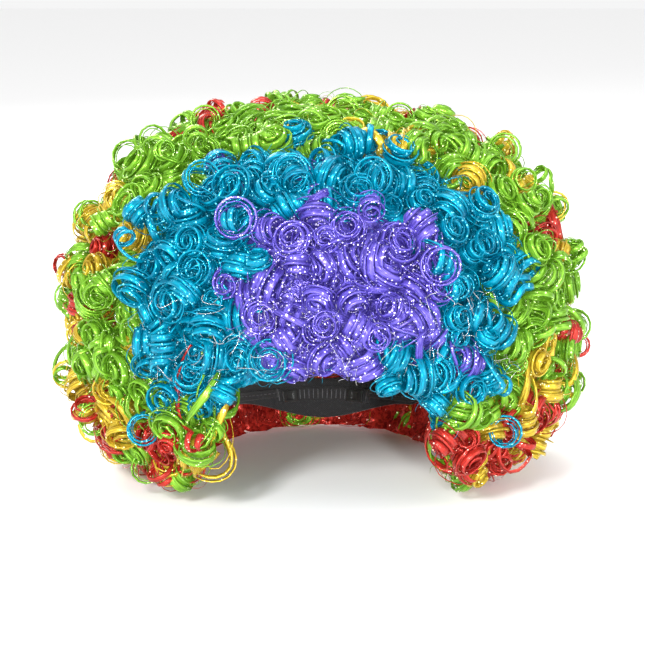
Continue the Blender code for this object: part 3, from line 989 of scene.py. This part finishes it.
def sew(seam, spacing=0.0032, length=0.0024, thick=0.0005):
    """A mesh of stitches along a seam, which is a row of points."""
    steps = np.linalg.norm(np.diff(seam, axis=0), axis=1)
    reach = np.concatenate([[0], np.cumsum(steps)])
    at = np.arange(spacing / 2, reach[-1], spacing)
    middle = np.stack([np.interp(at, reach, seam[:, i]) for i in range(3)], axis=1)
    later = np.stack([np.interp(at + 0.0005, reach, seam[:, i]) for i in range(3)], axis=1)
    before = np.stack([np.interp(at - 0.0005, reach, seam[:, i]) for i in range(3)], axis=1)
    ahead = unit(later - before)
    outward = unit(middle - np.array(CENTRE))
    across = unit(np.cross(ahead, outward))
    outward = np.cross(across, ahead)
    spots = (middle[:, None] + ahead[:, None] * BEAD[None, :, 2:3] * length / 2
             + across[:, None] * BEAD[None, :, 0:1] * thick / 2
             + outward[:, None] * BEAD[None, :, 1:2] * thick / 2)
    faces = [[corner + len(BEAD) * i for corner in face]
             for i in range(len(at)) for face in BEAD_FACES]
    mesh = bpy.data.meshes.new("stitches")
    mesh.from_pydata(spots.reshape(-1, 3).tolist(), [], faces)
    shell = bmesh.new()
    shell.from_mesh(mesh)
    bmesh.ops.recalc_face_normals(shell, faces=shell.faces)
    shell.to_mesh(mesh)
    shell.free()
    mesh.shade_smooth()
    mesh.materials.append(THREAD)
    return mesh


def sewn_strip(name, place, size, thick, material, seams, rib=0.0, outside=True, more=(),
               **weave):
    """A strip with stitches at each v in seams, on its outer or inner face, and more meshes."""
    strip = bend_strip(name, place, size, thick, rib, **weave)
    strip.data.materials.append(material)
    strip.data.shade_smooth()
    meshes = [strip.data]
    run = np.linspace(0.02, 0.98, SEAM_POINTS)
    for v in seams:
        line = place(run, np.full(SEAM_POINTS, float(v)))
        ways = unit(line - np.array(CENTRE))
        rise = thick + rib if outside else 0.0
        meshes.append(sew(line + ways * rise))
    bpy.data.objects.remove(strip)
    return join_meshes(name, [*meshes, *more])


# %% [markdown]
# The rim of the cap is two elastic bands, a low one over the forehead and a deep one round the
# nape. Their cords run lengthwise, and a double seam holds them to the net.

# %% Bands
RIM_GAP = 0.0014
BAND_THICK = 0.0016
FRONT_BAND_END, FRONT_BAND_HEIGHT = radians(70), 0.012
NAPE_BAND_END, NAPE_BAND_HEIGHT = radians(75), 0.022


def below_rim(around, drop):
    """Points on the head a given distance below the cap's edge."""
    around = (around + pi) % (2 * pi) - pi
    edge = rim_angle(around)
    across = np.linalg.norm(head_point(around, edge, 0.0) - np.array(CENTRE), axis=1)
    return head_point(around, edge - drop / across, 0.0)


def front_band(u, v):
    return below_rim(FRONT_BAND_END * (2 * u - 1), RIM_GAP + FRONT_BAND_HEIGHT * v)


def nape_band(u, v):
    return below_rim(pi + NAPE_BAND_END * (2 * u - 1), RIM_GAP + NAPE_BAND_HEIGHT * v)


def dress(piece, body, node_name):
    """Gives a finished piece its body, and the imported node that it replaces."""
    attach(piece, body)
    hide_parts(node_name)
    print(piece.name, triangles(piece))


dress(sewn_strip("front_band_elastic", front_band, (0.19, FRONT_BAND_HEIGHT),
                 BAND_THICK - 0.0003, ELASTIC, (0.14, 0.86), rib=0.0003),
      "cap", "front_band")
dress(sewn_strip("nape_band_elastic", nape_band, (0.23, NAPE_BAND_HEIGHT),
                 BAND_THICK - 0.0003, ELASTIC, (0.07, 0.16, 0.93), rib=0.0003),
      "cap", "nape_band")

# %% [markdown]
# Five ribbons run from the front band over the crown to the nape. They take the pull of the
# weft rows, which are sewn across them.

# %% Ribbons
RIBBON_BASE, RIBBON_WIDTH = 0.0016, 0.010
RIBBON_LEANS = {"centre": 0, "inner_left": 17, "outer_left": 35, "inner_right": -17,
                "outer_right": -35}


def ribbon_place(lean):
    sideways = radians(lean)
    start = radians(19 + abs(lean) * 0.12)
    end = radians(203 - abs(lean) * 0.25)

    def place(u, v):
        along = start + (end - start) * u
        way = np.stack([np.full(len(u), sin(sideways)), -cos(sideways) * np.cos(along),
                        cos(sideways) * np.sin(along)], axis=1)
        across = unit(np.array([1.0, 0, 0]) - way * way[:, :1])
        middle = way * (head_radius(way) + RIBBON_BASE)[:, None]
        back = unit(middle + across * RIBBON_WIDTH * (v - 0.5)[:, None])
        return np.array(CENTRE) + back * (head_radius(back) + RIBBON_BASE)[:, None]

    return place


for side, lean in RIBBON_LEANS.items():
    dress(sewn_strip(f"ribbon_{side}_elastic", ribbon_place(lean), (0.30, RIBBON_WIDTH), 0.0006,
                     ELASTIC, (0.1, 0.9), rib=0.0002, outside=False),
          "cap", f"ribbon_{side}")

# %% [markdown]
# In front of each ear hangs a tab, below the rim. A narrow stay on its outer side keeps it flat
# against the temple. Both ride on the tab's own body.

# %% Ear tabs and stays
TAB_MIDDLE, TAB_HALF_ANGLE, TAB_DROP = radians(88), radians(11), radians(4)
TAB_WIDTH, TAB_HEIGHT = 0.032, 0.034
STAY_WIDTH, STAY_LENGTH = 0.005, 0.026


def tab_place(middle):
    start = rim_angle(middle)
    size = float(head_radius(np.array([[sin(middle) * cos(start), -cos(middle) * cos(start),
                                        sin(start)]]))[0])

    def place(u, v):
        narrow = 1 - 0.45 * v * v
        around = middle + TAB_HALF_ANGLE * (2 * u - 1) * narrow
        return head_point(around, start - TAB_DROP - TAB_HEIGHT * v / size, 0.0)

    def stay(u, v):
        around = middle + STAY_WIDTH / HEAD[0] * (v - 0.5)
        up = start - TAB_DROP - TAB_HEIGHT * (0.12 + 0.76 * u) / size
        return head_point(around, up, BAND_THICK + 0.0005)

    return place, stay


PLASTIC = mottled_material("black_plastic", "ShaderNodeTexNoise", 260.0, 3.0,
                           ((0.012, 0.012, 0.013), (0.035, 0.035, 0.038)), roughness=0.32,
                           bump=0.15)


def round_edges(piece, width):
    soft = piece.modifiers.new("Round", "BEVEL")
    soft.width = width
    soft.segments = 2
    soft.limit_method = "ANGLE"
    bpy.context.view_layer.objects.active = piece
    bpy.ops.object.modifier_apply(modifier=soft.name)


for side, sign in (("left", 1), ("right", -1)):
    tab, stay = tab_place(sign * TAB_MIDDLE)
    dress(sewn_strip(f"ear_tab_{side}_cloth", tab, (TAB_WIDTH, TAB_HEIGHT), BAND_THICK - 0.0002,
                     ELASTIC, (0.06, 0.94), rib=0.0002), f"ear_tab_{side}", f"ear_tab_{side}")
    bone = bend_strip(f"ear_stay_{side}_bone", stay, (STAY_LENGTH, STAY_WIDTH), 0.0008)
    round_edges(bone, 0.0003)
    bone.data.materials.append(PLASTIC)
    bone.data.shade_smooth()
    dress(bone, f"ear_tab_{side}", f"ear_stay_{side}")

# %% [markdown]
# Inside the nape is the size adjuster: a tape with a row of loops, and two elastic straps that each
# end in a flat hook. The hooks slide along the tape.

# %% Adjuster
NAPE_AXIS_Y = 0.0343
TAPE_MIDDLE, TAPE_HEIGHT, TAPE_INSET, TAPE_HALF_ANGLE = 0.0230, 0.009, 0.0014, radians(33)
HOOK_HEIGHT, HOOK_INSET = 0.0075, 0.0032
WINDOW_REACH = 0.0030
HOOK_START, HOOK_ANGLE = radians(17), radians(11)
STRAP_START, STRAP_END, STRAP_HEIGHT = radians(161), radians(112), 0.006


def round_nape(turn, height, inset):
    """Points on the nape's own round, inset from the head."""
    drop = (SKULL_MIDDLE - height) / NECK_DOWN
    radius = HEAD[1] * np.sqrt(1 - drop * drop) - NAPE_AXIS_Y - inset
    return np.stack([radius * np.sin(turn), NAPE_AXIS_Y + radius * np.cos(turn), height], axis=1)


def loop_tape(u, v):
    height = TAPE_MIDDLE + TAPE_HEIGHT * (v - 0.5)
    return round_nape(TAPE_HALF_ANGLE * (2 * u - 1), height, TAPE_INSET)


def tape_loops():
    """Short upright cords along the tape's inner face, which the hooks catch in."""
    rise = np.linspace(-0.5, 0.5, 9)
    meshes = []
    for turn in np.radians(np.arange(-30, 31, 3.0)):
        height = TAPE_MIDDLE + TAPE_HEIGHT * 0.8 * rise
        cord = round_nape(np.full(len(rise), turn), height, TAPE_INSET)
        meshes.append(sew(cord, spacing=0.0072, length=0.0070, thick=0.0007))
    return meshes


dress(sewn_strip("loop_tape_webbing", loop_tape, (0.072, TAPE_HEIGHT), 0.0008, ELASTIC, (),
                 more=tape_loops()), "cap", "loop_tape")


def hook_place(sign):
    def place(u, v):
        turn = sign * (HOOK_START + HOOK_ANGLE * u)
        return round_nape(turn, TAPE_MIDDLE + HOOK_HEIGHT * (v - 0.5), HOOK_INSET)
    return place


def strap_place(sign):
    def place(u, v):
        around = sign * (STRAP_START + (STRAP_END - STRAP_START) * u)
        inset = HOOK_INSET * (1 - u / 2)
        level = np.linalg.norm(head_point(around, 0 * around, 0.0) - np.array(CENTRE), axis=1)
        drop = TAPE_MIDDLE + STRAP_HEIGHT * (v - 0.5) + 0.016 * u * u - SKULL_MIDDLE
        up = np.arcsin(drop / np.hypot(drop, level * 0.94))
        return head_point(around, up, -inset)
    return place


for side, sign in (("left", 1), ("right", -1)):
    hook = bend_strip(f"adjuster_hook_{side}_plate", hook_place(sign), (0.011, HOOK_HEIGHT), 0.0011)
    bpy.context.view_layer.objects.active = hook
    bpy.ops.object.mode_set(mode="EDIT")
    bpy.ops.mesh.select_all(action="DESELECT")
    bpy.ops.object.mode_set(mode="OBJECT")
    low, high = [Vector(corner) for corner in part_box(f"adjuster_hook_{side}")]
    window = (low + high) / 2
    for face in hook.data.polygons:
        inner = face.normal.dot(face.center - CENTRE) < 0
        near = (face.center - window).length < WINDOW_REACH
        face.select = inner and near
    bpy.ops.object.mode_set(mode="EDIT")
    bpy.ops.mesh.inset(thickness=0.0004)
    bpy.ops.mesh.extrude_region_shrink_fatten(TRANSFORM_OT_shrink_fatten={"value": -0.0005})
    bpy.ops.object.mode_set(mode="OBJECT")
    round_edges(hook, 0.0002)
    hook.data.materials.append(PLASTIC)
    hook.data.shade_smooth()
    dress(hook, f"hook_{side}", f"adjuster_hook_{side}")

    strap_shape = strap_place(sign)
    strap = sewn_strip(f"adjuster_strap_{side}_elastic", strap_shape, (0.075, STRAP_HEIGHT),
                       0.0007, ELASTIC, (0.5,), rib=0.0002, outside=False)
    ends = strap_shape(np.array([1.0, 0.0]), np.array([0.5, 0.5]))
    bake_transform(strap)
    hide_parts(f"adjuster_strap_{side}")
    print(strap.name, triangles(strap))

# %% [markdown]
# A blank cloth label is sewn in above the tape, along its two long edges.

# %% Label
def label_place(u, v):
    around = pi + radians(9) * (2 * u - 1)
    return head_point(around, radians(-18) + radians(9) * v, -0.0022)


dress(sewn_strip("blank_label_cloth", label_place, (0.029, 0.014), 0.0004, LABEL_CLOTH,
                 (0.1, 0.9), outside=False, thread=0.0007), "cap", "blank_label")

# %% [markdown]
# The net is an open mesh that stretches over the crown. A cube with finely divided sides, blown
# up to a sphere, has even square cells all over; the Wireframe modifier turns its edges to cords.

# %% Crown net
NET_CELLS = 30
NET_CORD = 0.0007


def make_net():
    """The upper half of the divided cube, laid on the head down to the rim."""
    bpy.ops.object.select_all(action="DESELECT")
    bpy.ops.mesh.primitive_cube_add(size=2)
    net = bpy.context.object
    net.name = net.data.name = "crown_net_mesh"
    bpy.ops.object.mode_set(mode="EDIT")
    bpy.ops.mesh.select_all(action="SELECT")
    bpy.ops.mesh.subdivide(number_cuts=NET_CELLS - 1)
    bpy.ops.mesh.select_all(action="DESELECT")
    bpy.ops.object.mode_set(mode="OBJECT")
    for face in net.data.polygons:
        face.select = face.center.z < 0
    bpy.ops.object.mode_set(mode="EDIT")
    bpy.ops.mesh.delete(type="FACE")
    bpy.ops.object.mode_set(mode="OBJECT")
    spots = np.empty(len(net.data.vertices) * 3)
    net.data.vertices.foreach_get("co", spots)
    even = np.tan(spots.reshape(-1, 3) * pi / 4)
    ways = unit(even)
    around = np.arctan2(ways[:, 0], -ways[:, 1])
    down = np.arccos(np.clip(ways[:, 2], 0, 1)) / (pi / 2)
    up = pi / 2 - down * (pi / 2 - rim_angle(around))
    net.data.vertices.foreach_set("co", head_point(around, up, NET_THICK / 2).ravel())
    cords = net.modifiers.new("Cords", "WIREFRAME")
    cords.thickness = NET_CORD
    cords.use_boundary = True
    cords.use_even_offset = False
    bpy.context.view_layer.objects.active = net
    bpy.ops.object.modifier_apply(modifier=cords.name)
    net.data.materials.append(NET_THREAD)
    net.data.shade_smooth()
    return net


dress(make_net(), "cap", "crown_net")

# %% [markdown]
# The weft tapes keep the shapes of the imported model. Each is the folded, sewn head of its own
# row of hair, so it takes that row's crimped fibre.

# %% Weft tapes
for name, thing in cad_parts.items():
    if name.startswith("weft_tape"):
        thing.data.materials.clear()
        thing.data.materials.append(UNDER_FIBRES[name.split("_")[-1]])
print("weft tapes:", sum(name.startswith("weft_tape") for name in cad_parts))
